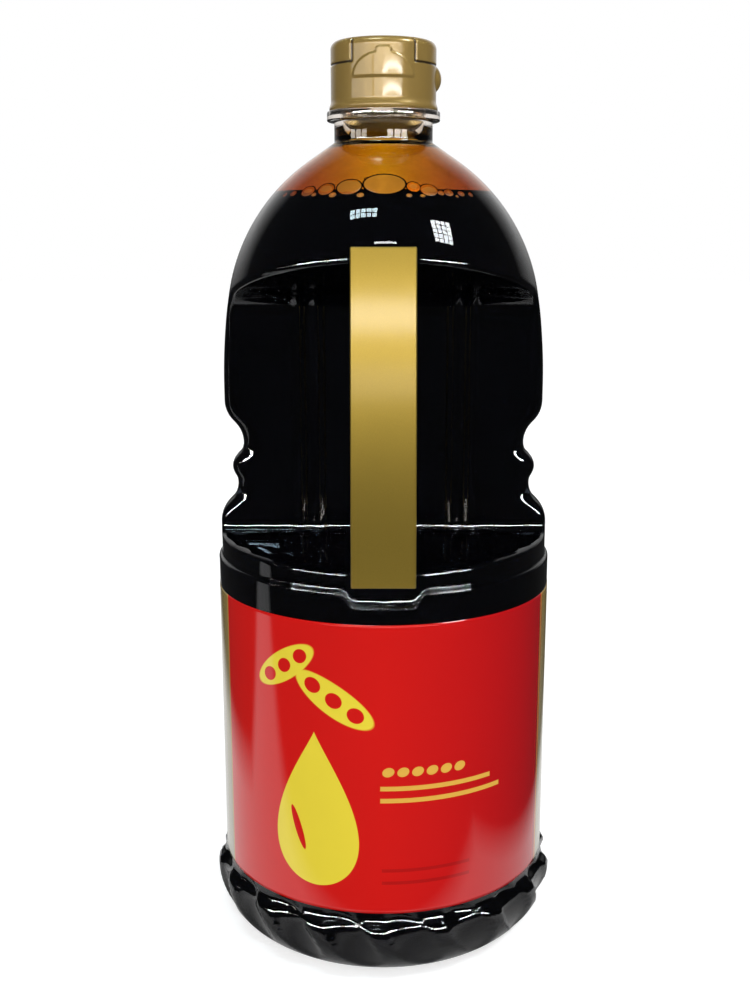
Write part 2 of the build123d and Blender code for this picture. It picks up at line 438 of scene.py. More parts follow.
# %% Build the shell
def neck_outline():
    """The neck, its support ring and the finish under the cap, from the neck base upwards."""
    soft = 0.5 * MM
    return [
        (neck_radius, neck_base + 0.8 * MM),
        (neck_radius, neck_base + 3.0 * MM),
        (neck_radius, ring_bottom - 0.7 * MM),
        (neck_radius + 0.4 * MM, ring_bottom - 0.1 * MM),
        (ring_radius - soft, ring_bottom),
        (ring_radius - 0.1 * MM, ring_bottom + 0.2 * MM),
        (ring_radius, ring_bottom + soft),
        (ring_radius, cap_bottom - soft),
        (ring_radius - 0.1 * MM, cap_bottom - 0.2 * MM),
        (ring_radius - soft, cap_bottom),
        (neck_radius, cap_bottom),
        (neck_radius, finish_top),
    ]


inner_stretches = (
    (heel_height, 3 * MM),
    (panel_bottom, 2 * MM),
    (ledge_height + 1.4 * MM, 12 * MM),
    (grip_floor_back + 1 * MM, 1.1 * MM),
    (grip_roof_back - 7 * MM, 5 * MM),
    (grip_roof_front + 4 * MM, 2.4 * MM),
    (neck_base - wall, coarse),
)

bm = bmesh.new()
outside = [(body_radius(z), z) for z in body_rows]
bm.from_mesh(spun_skin(foot_outline(0) + outside + neck_outline(), 0))
inner_rows = row_heights(inner_stretches, wall)
inside = [(body_radius(z) - wall, z) for z in inner_rows if body_radius(z) - wall > bore_radius]
inside += [(bore_radius, neck_base), (bore_radius, ring_bottom), (bore_radius, finish_top)]
bm.from_mesh(spun_skin(foot_outline(wall) + inside, wall, inward=True))
lips = [e for e in bm.edges if e.is_boundary]
lip = bmesh.ops.bridge_loops(bm, edges=lips)["faces"]
bm.normal_update()
bmesh.ops.reverse_faces(bm, faces=[face for face in lip if face.normal.z < 0])
shell = finish_piece(bm, "bottle_shell")
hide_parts("bottle")

# %% [markdown]
# ## The sauce
# A liquid wets the wall that holds it. If the sauce stopped exactly at the inner wall, or a hair
# short of it, a bright air gap would show. So the sauce reaches halfway into the wall.

# %% Build the sauce
sauce_inset = wall / 2
level_round = 0.4 * MM
bm = bmesh.new()
sauce_rows = [z for z in body_rows if sauce_inset * 2 < z < sauce_level - 2 * level_round]
sauce_outline = [(body_radius(z) - sauce_inset, z) for z in sauce_rows]
level_radius = body_radius(sauce_level) - sauce_inset
sauce_outline += [
    (level_radius + 0.3 * MM, sauce_level - level_round),
    (level_radius, sauce_level),
    (level_radius * 0.5, sauce_level),
    (0, sauce_level),
]
bm.from_mesh(spun_skin(foot_outline(sauce_inset * 2) + sauce_outline, sauce_inset))
sauce = finish_piece(bm, "sauce_body")
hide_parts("sauce")

# %% [markdown]
# ## The printed sleeve
# The sleeve is a film wrapped tightly round the panel. It is a thin tube with a wall of its own.

# %% Build the sleeve
bm = bmesh.new()
film_margin = 1 * MM
label_outline = [
    (panel_radius, label_low.z),
    (label_radius, label_low.z),
    (label_radius, label_low.z + film_margin),
    (label_radius, label_high.z - film_margin),
    (label_radius, label_high.z),
    (panel_radius, label_high.z),
    (panel_radius, label_low.z),
]
spin_outline(bm, label_outline, columns)
bmesh.ops.recalc_face_normals(bm, faces=bm.faces[:])
sleeve = finish_piece(bm, "label_sleeve")
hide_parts("label")

# %% [markdown]
# ## The strap
# The strap is a bowed band of plastic, its two ends turned in to hook behind the body. Its outline
# seen from the side is pulled out to its width, and a bevel softens the edges.

# %% Build the strap
strap_thickness = 3.1 * MM
strap_foot_depth = 6.8 * MM
strap_foot_height = 7.0 * MM
top_reach = barrel_radius - 6.1 * MM
middle_reach = barrel_radius + 2.6 * MM
bottom_reach = panel_radius + 0.2 * MM


def bow_reach(z):
    """How far the strap's face stands out at a height, on one arc through three points."""
    top, bottom = handle_high.z, handle_low.z
    middle = (top + bottom) / 2
    share = (z - bottom) / (top - bottom)
    line = bottom_reach + (top_reach - bottom_reach) * share
    bulge = middle_reach - (bottom_reach + top_reach) / 2
    return line + bulge * (1 - ((z - middle) / (top - middle)) ** 2)


def strap_face(start, end, behind=0, steps=28):
    """Points (y, z) on a face of the strap between two heights, some way behind the front face."""
    heights = [start + (end - start) * i / steps for i in range(steps + 1)]
    return [(behind - bow_reach(z), z) for z in heights]


def strap_outline():
    """The strap from the side as (y, z) points, front face first."""
    low, high = handle_low.z, handle_high.z
    inner_low, inner_high = low + strap_foot_height, high - strap_foot_height
    front = strap_face(low, high)
    back = strap_face(inner_high, inner_low, strap_thickness)
    top_hook = [(strap_foot_depth - top_reach, high), (strap_foot_depth - top_reach, inner_high)]
    low_hook = [(strap_foot_depth - bottom_reach, inner_low), (strap_foot_depth - bottom_reach, low)]
    return front + top_hook + back + low_hook


bm = bmesh.new()
side = [bm.verts.new((handle_low.x, y, z)) for y, z in strap_outline()]
face = bm.faces.new(side)
wide = bmesh.ops.extrude_face_region(bm, geom=[face])
moved = [v for v in wide["geom"] if isinstance(v, bmesh.types.BMVert)]
bmesh.ops.translate(bm, verts=moved, vec=(handle_high.x - handle_low.x, 0, 0))
bmesh.ops.recalc_face_normals(bm, faces=bm.faces[:])
strap = finish_piece(bm, "strap_handle")
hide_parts("handle")
soften = strap.modifiers.new("soft edges", "BEVEL")
soften.width, soften.segments = 0.45 * MM, 3
soften.limit_method, soften.angle_limit = "ANGLE", math.radians(40)
soften.harden_normals = True

# %% [markdown]
# ## The cap
# The cap is one gold moulding: a skirt with a bead at its foot, a lid marked off by a fine line
# and two slits, an arched thumb panel at the front and a small bump at one side. The outline is
# spun finely enough to press all of these into it.

# %% Sizes of the cap
cap_radius = 16.6 * MM
bead_proud, bead_height = 0.5 * MM, 3.0 * MM
cap_round = 2.2 * MM
lid_height = cap_top - 7.2 * MM
arch_base = cap_top - 11.8 * MM
arch_half_width, arch_height, arch_proud = 10.2 * MM, 7.4 * MM, 0.35 * MM
nub_half_width, nub_height = 2.5 * MM, 1.2 * MM
slit_angle = math.radians(36)
slit_width, slit_depth = 0.7 * MM, 0.45 * MM
bump_height, bump_radius, bump_proud = cap_top - 11.0 * MM, 5.2 * MM, 1.6 * MM
print("cap", round(cap_top - cap_bottom, 5), "high")


# %% Build the cap
def cap_outline():
    """The cap's outside from its foot to the middle of its top, then its inside."""
    outline = [
        (cap_radius + bead_proud - 0.25 * MM, cap_bottom),
        (cap_radius + bead_proud, cap_bottom + 0.25 * MM),
        (cap_radius + bead_proud, cap_bottom + 1.1 * MM),
        (cap_radius + bead_proud * 0.6, cap_bottom + 1.7 * MM),
        (cap_radius + bead_proud * 0.15, cap_bottom + 2.3 * MM),
    ]
    start, end = cap_bottom + bead_height, cap_top - cap_round
    rows = 52
    outline += [(cap_radius, start + (end - start) * i / rows) for i in range(rows + 1)]
    for i in range(1, 9):
        turn = math.pi / 2 * i / 8
        outline.append((cap_radius - cap_round + cap_round * math.cos(turn),
                        end + cap_round * math.sin(turn)))
    outline += [((cap_radius - cap_round) * share, cap_top) for share in (0.66, 0.33, 0)]
    return outline


def mould_cap(points):
    """Raises the thumb panel and the bump, and sinks the lid line and the slits."""
    x, y, z = points.T
    radius = np.maximum(np.hypot(x, y), 1e-6)
    angle = np.arctan2(x, -y)
    skirt = radius > cap_radius - 0.4 * cap_round
    across = angle * cap_radius
    above = np.maximum(z - arch_base, 0)
    oval = 1 - (across / arch_half_width) ** 2 - (above / arch_height) ** 2
    nub = 1 - (across / nub_half_width) ** 4 - ((z - arch_base - arch_height) / nub_height) ** 4
    base = np.clip((z - arch_base + 0.2 * MM) / (0.4 * MM), 0, 1)
    raised = np.clip(np.maximum(oval * 7, nub * 2), 0, 1) * base
    raised = raised * raised * (3 - 2 * raised)
    move = arch_proud * np.where(np.abs(angle) < 1.2, raised, 0)
    ring = np.clip(1 - np.abs(z - lid_height) / (0.45 * slit_width), 0, 1)
    ring = np.where(np.abs(angle) > slit_angle, ring, 0)
    slit = np.clip(1.4 - np.abs(np.abs(angle) - slit_angle) * cap_radius / (0.55 * slit_width), 0, 1)
    slit = np.where(z > lid_height - 0.2 * MM, slit, 0)
    move = move - slit_depth * np.maximum(ring, slit)
    move = np.where(skirt, move, 0)
    distance = np.hypot(y, z - bump_height)
    swell = np.sqrt(np.clip(bump_radius**2 - distance**2, 0, None))
    bump = cap_radius + bump_proud - bump_radius + swell
    side = (x > 0) & (distance < bump_radius)
    target = np.where(side, np.maximum(radius + move, bump), radius + move)
    points[:, 0] = x * target / radius
    points[:, 1] = y * target / radius


bm = bmesh.new()
spin_outline(bm, cap_outline(), 320)
points = np.array([v.co[:] for v in bm.verts])
mould_cap(points)
for vert, point in zip(bm.verts, points):
    vert.co = point
bmesh.ops.recalc_face_normals(bm, faces=bm.faces[:])
rim = [e for e in bm.edges if e.is_boundary]
inner = bmesh.ops.extrude_edge_only(bm, edges=rim)
inner_verts = [v for v in inner["geom"] if isinstance(v, bmesh.types.BMVert)]
inner_edges = [e for e in inner["geom"] if isinstance(e, bmesh.types.BMEdge)]
shrink = (cap_radius - wall) / (cap_radius + bead_proud - 0.25 * MM)
bmesh.ops.scale(bm, verts=inner_verts, vec=(shrink, shrink, 1))
up = bmesh.ops.extrude_edge_only(bm, edges=inner_edges)
up_verts = [v for v in up["geom"] if isinstance(v, bmesh.types.BMVert)]
bmesh.ops.translate(bm, verts=up_verts, vec=(0, 0, finish_top - cap_bottom))
bmesh.ops.contextual_create(bm, geom=[e for e in bm.edges if e.is_boundary])
bmesh.ops.recalc_face_normals(bm, faces=bm.faces[:])
cap = finish_piece(bm, "flip_cap")
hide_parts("cap")

# %% [markdown]
# ## Bubbles along the level
# Small bubbles stand along the level, against the inside of the wall. Each is a low amber dome
# with a dark rim where the liquid climbs its edge.

# %% Build the bubbles
# Each bubble: degrees from the front (right is positive), height over the level, half width, half height
bubbles = (
    (-40, -0.4, 2.4, 1.9), (-29.4, 0.1, 2.6, 2.2), (-17.3, 0.7, 3.7, 2.9), (0.5, 1.5, 6.1, 3.9),
    (15, 0.7, 2.0, 1.9), (22.6, -0.2, 2.7, 2.2), (33, -0.9, 1.6, 1.3), (-24.5, -1.6, 1.2, 0.9),
    (-10.8, -1.7, 1.1, 0.8), (12.0, -1.8, 0.9, 0.7), (28.5, -1.0, 1.1, 0.9), (40.5, -1.1, 1.3, 1.0),
    (47, -1.3, 1.0, 0.8), (-50, -0.9, 1.4, 1.0), (18.5, -1.9, 0.8, 0.6), (-35.2, -1.4, 0.9, 0.7),
    (9.6, 2.6, 0.7, 0.6), (37, -1.9, 0.6, 0.5), (-8.8, 3.0, 0.6, 0.5), (-57, -1.2, 1.0, 0.8),
)


def bubble_frame(degrees, rise):
    """Matrix that lays a flat shape on the inner wall: X across, Z up the wall, Y out of it."""
    turn = math.radians(degrees)
    z = sauce_level + rise * MM
    step = 0.5 * MM
    lean = math.atan2(body_radius(z - step) - body_radius(z + step), 2 * step)
    radius = body_radius(z) - 0.30 * MM
    place = Matrix.Rotation(turn, 4, "Z") @ Matrix.Translation((0, -radius, z))
    return place @ Matrix.Rotation(-lean, 4, "X")


def add_bubble(bm, matrix, half_width, half_height, thickness):
    """Adds a low oval dome, flattened on to the wall."""
    made = bmesh.ops.create_uvsphere(bm, u_segments=28, v_segments=12, radius=1)
    bmesh.ops.scale(bm, verts=made["verts"], vec=(half_width, thickness, half_height))
    bmesh.ops.transform(bm, verts=made["verts"], matrix=matrix)


rims, domes = bmesh.new(), bmesh.new()
for degrees, rise, half_width, half_height in bubbles:
    rim_width = 0.28 + 0.04 * half_width
    flat = bubble_frame(degrees, rise)
    add_bubble(rims, flat, (half_width + rim_width) * MM, (half_height + rim_width) * MM, 0.14 * MM)
    forward = flat @ Matrix.Translation((0, -0.08 * MM, 0))
    add_bubble(domes, forward, half_width * MM, half_height * MM, 0.15 * MM)
rim_piece = finish_piece(rims, "bubble_rims")
dome_piece = finish_piece(domes, "bubble_domes")

# %% [markdown]
# ## Materials
# Small helpers keep the node code short. Each material is made of the effects that its real
# surface has, and effects that several share, such as a fine unevenness of the colour, are node
# groups that put out a colour or a mask.

# %% Node helpers
def new_material(name):
    """A material with nodes and its Principled shader."""
    material = bpy.data.materials.new(name)
    material.use_nodes = True
    return material, material.node_tree, material.node_tree.nodes["Principled BSDF"]


def math_node(tree, operation, *inputs):
    """A Math node with numbers or sockets as its inputs, and its output."""
    node = tree.nodes.new("ShaderNodeMath")
    node.operation = operation
    for socket, value in zip(node.inputs, inputs):
        if isinstance(value, (int, float)):
            socket.default_value = value
        else:
            tree.links.new(value, socket)
    return node.outputs[0]


def mix_colour(tree, factor, a, b):
    """Mixes two colours, each a tuple or a socket, by a socket or a number."""
    node = tree.nodes.new("ShaderNodeMix")
    node.data_type = "RGBA"
    for socket, value in zip((node.inputs[0], node.inputs[6], node.inputs[7]), (factor, a, b)):
        if isinstance(value, tuple):
            socket.default_value = (*value, 1)
        elif isinstance(value, (int, float)):
            socket.default_value = value
        else:
            tree.links.new(value, socket)
    return node.outputs[2]


def colour(red, green, blue):
    """A colour given as it looks, from 0 to 255, turned into the linear values that nodes use."""
    return tuple(c / 255 / 12.92 if c <= 10 else ((c / 255 + 0.055) / 1.055) ** 2.4
                 for c in (red, green, blue))


def object_axes(tree):
    """The X, Y and Z of the Object coordinates."""
    place = tree.nodes.new("ShaderNodeTexCoord")
    split = tree.nodes.new("ShaderNodeSeparateXYZ")
    tree.links.new(place.outputs["Object"], split.inputs[0])
    return split.outputs


def from_axis(tree, axes):
    """Distance from the bottle's axis."""
    squares = [math_node(tree, "POWER", axes[axis], 2.0) for axis in ("X", "Y")]
    return math_node(tree, "SQRT", math_node(tree, "ADD", *squares))


def soft_step(tree, value, softness):
    """1 where value is well above nothing and 0 below, with an edge of some softness."""
    return math_node(tree, "MULTIPLY_ADD", value, 1 / softness, 0.5)


def clamp(tree, value):
    """Keeps a value between 0 and 1."""
    return math_node(tree, "MINIMUM", math_node(tree, "MAXIMUM", value, 0.0), 1.0)


# %% [markdown]
# No moulded or printed surface has one flat colour. A noise texture on the Object coordinates
# gives a colour a slight mottle, and the same noise is a height where a material wants a Bump. It
# is a group because every material of the bottle uses it, each with its own scale and amount.

# %% Shared effect: fine unevenness
def make_unevenness():
    """A group that gives a colour a slight mottle, and a height for a Bump."""
    group = bpy.data.node_groups.new("unevenness", "ShaderNodeTree")
    face = group.interface
    face.new_socket("Colour", in_out="INPUT", socket_type="NodeSocketColor")
    for name in ("Scale", "Amount"):
        face.new_socket(name, in_out="INPUT", socket_type="NodeSocketFloat")
    face.new_socket("Colour", in_out="OUTPUT", socket_type="NodeSocketColor")
    face.new_socket("Height", in_out="OUTPUT", socket_type="NodeSocketFloat")
    enter = group.nodes.new("NodeGroupInput")
    leave = group.nodes.new("NodeGroupOutput")
    place = group.nodes.new("ShaderNodeTexCoord")
    noise = group.nodes.new("ShaderNodeTexNoise")
    noise.inputs["Detail"].default_value = 4
    group.links.new(place.outputs["Object"], noise.inputs["Vector"])
    group.links.new(enter.outputs["Scale"], noise.inputs["Scale"])
    centred = math_node(group, "SUBTRACT", noise.outputs[0], 0.5)
    swing = math_node(group, "MULTIPLY", centred, enter.outputs["Amount"])
    bright = math_node(group, "ADD", swing, 1.0)
    tone = group.nodes.new("ShaderNodeVectorMath")
    tone.operation = "SCALE"
    group.links.new(enter.outputs["Colour"], tone.inputs[0])
    group.links.new(bright, tone.inputs["Scale"])
    group.links.new(tone.outputs[0], leave.inputs["Colour"])
    group.links.new(noise.outputs[0], leave.inputs["Height"])
    return group


unevenness = make_unevenness()
print("group made:", unevenness.name)


def add_unevenness(tree, tone, scale, amount):
    """Places the group and returns its colour and height."""
    node = tree.nodes.new("ShaderNodeGroup")
    node.node_tree = unevenness
    if isinstance(tone, tuple):
        node.inputs["Colour"].default_value = (*tone, 1)
    else:
        tree.links.new(tone, node.inputs["Colour"])
    node.inputs["Scale"].default_value = scale
    node.inputs["Amount"].default_value = amount
    return node.outputs["Colour"], node.outputs["Height"]


def add_bump(tree, shader, height, strength, distance):
    """Feeds a height into the shader's normal."""
    bump = tree.nodes.new("ShaderNodeBump")
    bump.inputs["Strength"].default_value = strength
    bump.inputs["Distance"].default_value = distance
    tree.links.new(height, bump.inputs["Height"])
    tree.links.new(bump.outputs[0], shader.inputs["Normal"])


# %% [markdown]
# The shoulder is amber because the sauce has run down the inside of the wall and left a thin film.
# That film could be a skin of its own. But a look through the shoulder crosses four faces of the
# wall, and each of them tints what is behind, so the plastic's own colour does the same with less:
# amber from the neck down to the level, paler in the middle, and almost clear above. The sauce is
# nearly black and has no gloss of its own. What shines in front of it is the wall.

# %% Clear plastic and sauce
amber_middle, amber_side = (0.73, 0.45, 0.05), (0.53, 0.20, 0.09)
neck_tint, tint_over_sauce = (0.86, 0.80, 0.74), (0.42, 0.50, 0.62)
film_top = neck_base + 2.6 * MM
film_swing = 6 * MM
full_shine, neck_shine = 0.5, 0.18


def from_middle(tree, axes, reach):
    """0 at the middle of the bottle and 1 at some reach to either side."""
    return clamp(tree, math_node(tree, "DIVIDE", math_node(tree, "ABSOLUTE", axes["X"]), reach))


def plastic_tone(tree, axes):
    """Almost clear on the neck, amber down to the level and cool where the sauce lies behind."""
    amber = mix_colour(tree, from_middle(tree, axes, 25 * MM), amber_middle, amber_side)
    amber, _ = add_unevenness(tree, amber, 90, 0.35)
    run_down = math_node(tree, "SUBTRACT", film_top, axes["Z"])
    _, drips = add_unevenness(tree, (1, 1, 1), 160, 0)
    drips = math_node(tree, "MULTIPLY_ADD", drips, film_swing, -film_swing / 2)
    wet = clamp(tree, soft_step(tree, math_node(tree, "ADD", run_down, drips), 1.5 * MM))
    tone = mix_colour(tree, wet, neck_tint, amber)
    under = math_node(tree, "SUBTRACT", sauce_level - 1 * MM, axes["Z"])
    return mix_colour(tree, clamp(tree, soft_step(tree, under, 1 * MM)), tone, tint_over_sauce)


def make_clear_plastic():
    """Smooth clear plastic, tinted by the film of sauce, and duller on the neck."""
    material, tree, shader = new_material("clear blown plastic")
    axes = object_axes(tree)
    tree.links.new(plastic_tone(tree, axes), shader.inputs["Base Color"])
    on_neck = math_node(tree, "SUBTRACT", axes["Z"], neck_base)
    on_neck = clamp(tree, soft_step(tree, on_neck, 1 * MM))
    shine = math_node(tree, "MULTIPLY_ADD", on_neck, neck_shine - full_shine, full_shine)
    tree.links.new(shine, shader.inputs["Specular IOR Level"])
    shader.inputs["Transmission Weight"].default_value = 1
    shader.inputs["Roughness"].default_value = 0.015
    shader.inputs["IOR"].default_value = 1.45
    _, height = add_unevenness(tree, (1, 1, 1), 45, 0)
    add_bump(tree, shader, height, 0.03, 0.4 * MM)
    return material


def make_dark_sauce():
    """Nearly black sauce, with the gloss left to the wall in front of it."""
    material, tree, shader = new_material("dark sauce")
    tone, _ = add_unevenness(tree, (0.0010, 0.0010, 0.0014), 30, 0.5)
    tree.links.new(tone, shader.inputs["Base Color"])
    shader.inputs["Roughness"].default_value = 0.5
    shader.inputs["Specular IOR Level"].default_value = 0.0
    return material


def make_amber_bubble():
    """Thin sauce in a bubble's dome, darker towards the sides of the bottle."""
    material, tree, shader = new_material("amber bubble")
    aside = from_middle(tree, object_axes(tree), 30 * MM)
    tone = mix_colour(tree, aside, colour(182, 118, 30), colour(104, 52, 28))
    tone, _ = add_unevenness(tree, tone, 260, 0.5)
    tree.links.new(tone, shader.inputs["Base Color"])
    shader.inputs["Roughness"].default_value = 0.15
    return material


shell.data.materials.append(make_clear_plastic())
dark_sauce = make_dark_sauce()
for piece in (sauce, rim_piece):
    piece.data.materials.append(dark_sauce)
dome_piece.data.materials.append(make_amber_bubble())
print("clear and wet materials made")

# %% [markdown]
# ## The print
# The sleeve is printed flat and then wrapped round the bottle. So each printed shape is a mask in
# a flat plane, whose axes are the way round and the way up, and the angle round the axis bends it.
# An image would do this too, but masks stay sharp at any distance. The group turns the plane
# about a shape's centre.

# %% Shared effect: printed shapes
def make_shape_group():
    """A group that puts out the way round and the way up, measured from a turned centre."""
    group = bpy.data.node_groups.new("turned place", "ShaderNodeTree")
    face = group.interface
    for name in ("Round", "Up", "Centre round", "Centre up", "Turn"):
        face.new_socket(name, in_out="INPUT", socket_type="NodeSocketFloat")
    for name in ("Along", "Across"):
        face.new_socket(name, in_out="OUTPUT", socket_type="NodeSocketFloat")
    enter = group.nodes.new("NodeGroupInput")
    leave = group.nodes.new("NodeGroupOutput")
    dx = math_node(group, "SUBTRACT", enter.outputs["Round"], enter.outputs["Centre round"])
    dz = math_node(group, "SUBTRACT", enter.outputs["Up"], enter.outputs["Centre up"])
    cosine = math_node(group, "COSINE", enter.outputs["Turn"])
    sine = math_node(group, "SINE", enter.outputs["Turn"])
    along = math_node(group, "ADD", math_node(group, "MULTIPLY", dx, cosine),
                      math_node(group, "MULTIPLY", dz, sine))
    across = math_node(group, "SUBTRACT", math_node(group, "MULTIPLY", dz, cosine),
                       math_node(group, "MULTIPLY", dx, sine))
    group.links.new(along, leave.inputs["Along"])
    group.links.new(across, leave.inputs["Across"])
    return group


turned_place = make_shape_group()
print("group made:", turned_place.name)


def place_axes(tree, around, up, centre, turn):
    """Along and across axes of a shape at a centre, turned by some degrees."""
    node = tree.nodes.new("ShaderNodeGroup")
    node.node_tree = turned_place
    tree.links.new(around, node.inputs["Round"])
    tree.links.new(up, node.inputs["Up"])
    node.inputs["Centre round"].default_value = centre[0] * MM
    node.inputs["Centre up"].default_value = centre[1] * MM
    node.inputs["Turn"].default_value = math.radians(turn)
    return node.outputs["Along"], node.outputs["Across"]


def oval_mask(tree, around, up, centre, half_long, half_wide, turn=0):
    """1 inside an oval."""
    along, across = place_axes(tree, around, up, centre, turn)
    a = math_node(tree, "POWER", math_node(tree, "DIVIDE", along, half_long * MM), 2.0)
    b = math_node(tree, "POWER", math_node(tree, "DIVIDE", across, half_wide * MM), 2.0)
    inside = math_node(tree, "SUBTRACT", 1.0, math_node(tree, "ADD", a, b))
    return clamp(tree, soft_step(tree, inside, 0.12))


def bar_mask(tree, around, up, centre, half_long, half_wide, turn=0):
    """1 inside a bar."""
    along, across = place_axes(tree, around, up, centre, turn)
    a = math_node(tree, "SUBTRACT", half_long * MM, math_node(tree, "ABSOLUTE", along))
    b = math_node(tree, "SUBTRACT", half_wide * MM, math_node(tree, "ABSOLUTE", across))
    return clamp(tree, soft_step(tree, math_node(tree, "MINIMUM", a, b), 0.15 * MM))


def drop_mask(tree, around, up, centre, height, half_width):
    """1 inside a falling drop: round below and pointed above."""
    along, across = place_axes(tree, around, up, centre, 0)
    share = math_node(tree, "DIVIDE", across, height * MM)
    share = clamp(tree, math_node(tree, "ADD", share, 0.5))
    taper = math_node(tree, "POWER", math_node(tree, "SUBTRACT", 1.0, share), 1.15)
    swell = math_node(tree, "MULTIPLY", taper, math_node(tree, "SQRT", share))
    edge = math_node(tree, "MULTIPLY", swell, 2.75 * half_width * MM)
    inside = math_node(tree, "SUBTRACT", edge, math_node(tree, "ABSOLUTE", along))
    inside = math_node(tree, "SUBTRACT", inside, 0.15 * MM)
    return clamp(tree, soft_step(tree, inside, 0.2 * MM))


def combine(tree, masks):
    """The largest of several masks."""
    result = masks[0]
    for mask in masks[1:]:
        result = math_node(tree, "MAXIMUM", result, mask)
    return result


# %% [markdown]
# The sleeve has a red field in front, edged with a fine line, and a pale gold ground behind. On
# the red stand two pods over a falling drop, a row of dots and some plain rules.

# %% Colours of the sleeve
red_left, red_right = math.radians(-66), math.radians(68.7)


def turn_from_front(tree, axes):
    """The angle round the axis from the front, positive to the right."""
    return math_node(tree, "ARCTAN2", axes["X"], math_node(tree, "MULTIPLY", axes["Y"], -1.0))


def sleeve_ground(tree, turn, up):
    """The red field, darkened towards the right side as painted shade, with its edge lines on the gold
    ground.
    """
    right_of = math_node(tree, "SUBTRACT", turn, red_left)
    left_of = math_node(tree, "SUBTRACT", red_right, turn)
    field = math_node(tree, "MINIMUM", right_of, left_of)
    field = clamp(tree, soft_step(tree, field, 0.004))
    # Painted shade: the red darkens from the front towards the right side.
    side = clamp(tree, math_node(tree, "DIVIDE", turn, 1.1))
    red = mix_colour(tree, side, colour(222, 24, 20), colour(176, 12, 22))
    low_share = clamp(tree, math_node(tree, "DIVIDE", math_node(tree, "SUBTRACT", label_high.z, up),
                                      label_high.z - label_low.z))
    gold = mix_colour(tree, low_share, colour(157, 132, 72), colour(176, 172, 148))
    ground = mix_colour(tree, field, gold, red)
    line_left = math_node(tree, "ABSOLUTE", math_node(tree, "SUBTRACT", turn, red_left + 0.008))
    line_right = math_node(tree, "ABSOLUTE", math_node(tree, "SUBTRACT", turn, red_right - 0.018))
    line = math_node(tree, "MINIMUM", line_left, line_right)
    line = clamp(tree, soft_step(tree, math_node(tree, "SUBTRACT", 0.009, line), 0.004))
    return mix_colour(tree, line, ground, colour(196, 154, 74))


# %% Shapes on the sleeve
def print_emblem(tree, around, up, ground):
    """Two pods with their beans showing, over a falling drop with a glint."""
    pods = combine(tree, [
        oval_mask(tree, around, up, (-32.5, 103.5), 12.5, 4.6, 34),
        oval_mask(tree, around, up, (-15.5, 94.5), 14.5, 5.0, -32),
    ])
    beans = combine(tree, [
        oval_mask(tree, around, up, centre, 2.5, 2.2, 34)
        for centre in ((-38.3, 99.6), (-32.5, 103.5), (-26.7, 107.4))
    ] + [
        oval_mask(tree, around, up, centre, 2.8, 2.4, -32)
        for centre in ((-22.4, 98.8), (-15.5, 94.5), (-8.6, 90.2))
    ])
    drop = drop_mask(tree, around, up, (-22.0, 58.0), 52, 14.5)
    glint = oval_mask(tree, around, up, (-28.0, 50.5), 7.5, 1.3, 108)
    bright = combine(tree, [pods, drop])
    bright = math_node(tree, "SUBTRACT", bright, combine(tree, [beans, glint]))
    bright = clamp(tree, bright)
    return mix_colour(tree, bright, ground, colour(250, 226, 66))


def print_rules(tree, around, up, ground):
    """A row of dots over two gold rules, and two faint rules near the foot."""
    bars = combine(tree, [
        oval_mask(tree, around, up, (1.5 + 4.6 * i, 72.0), 1.9, 1.5, 20) for i in range(6)
    ] + [
        bar_mask(tree, around, up, (17.5, 66.6), 18.5, 0.75),
        bar_mask(tree, around, up, (19.5, 62.6), 20.5, 0.75),
    ])
    ground = mix_colour(tree, bars, ground, colour(240, 186, 78))
    faint = combine(tree, [
        bar_mask(tree, around, up, (14.0, 39.0), 14.5, 0.55),
        bar_mask(tree, around, up, (14.0, 34.8), 14.5, 0.55),
    ])
    return mix_colour(tree, math_node(tree, "MULTIPLY", faint, 0.35), ground, colour(120, 16, 18))


def make_print():
    """Glossy printed film."""
    material, tree, shader = new_material("printed film")
    axes = object_axes(tree)
    turn, up = turn_from_front(tree, axes), axes["Z"]
    around = math_node(tree, "MULTIPLY", turn, label_radius)
    ground = sleeve_ground(tree, turn, up)
    ground = print_emblem(tree, around, up, ground)
    ground = print_rules(tree, around, up, ground)
    tone, height = add_unevenness(tree, ground, 24, 0.06)
    tree.links.new(tone, shader.inputs["Base Color"])
    shader.inputs["Roughness"].default_value = 0.11
    shader.inputs["Coat Weight"].default_value = 0.4
    add_bump(tree, shader, height, 0.12, 0.3 * MM)
    return material


sleeve.data.materials.append(make_print())
print("print made")


# %% [markdown]
# ## The gold
# The strap and the cap are plastic with a pearl pigment, not metal. A high metallic value with a
# wide gloss gives the strap its satin sweep from bright to dark. The cap has more plastic in its
# look, so it is less metallic under a sharper clear coat. Fine noise makes the sparkle, and painted shade
# darkens the cap's lid line and slits.

# %% Gold plastics
def make_gold(name, tone, roughness, metallic, grain, coat, grooves=None):
    """Pearl gold plastic: a fine sparkle in the colour under a soft gloss, and a clear coat.

    Where a mask of grooves is given, the colour is darkened in them: painted shade.
    """
    material, tree, shader = new_material(name)
    mottled, _ = add_unevenness(tree, tone, 60, 0.08)
    sparkle, height = add_unevenness(tree, mottled, 4200, grain)
    if grooves:
        # Painted shade: the colour goes nearly black in the grooves of the mask.
        sparkle = mix_colour(tree, grooves(tree), sparkle, (0.05, 0.03, 0.01))
    tree.links.new(sparkle, shader.inputs["Base Color"])
    shader.inputs["Metallic"].default_value = metallic
    shader.inputs["Roughness"].default_value = roughness
    shader.inputs["Coat Weight"].default_value, shader.inputs["Coat Roughness"].default_value = coat
    add_bump(tree, shader, height, 0.12, 0.02 * MM)
    return material


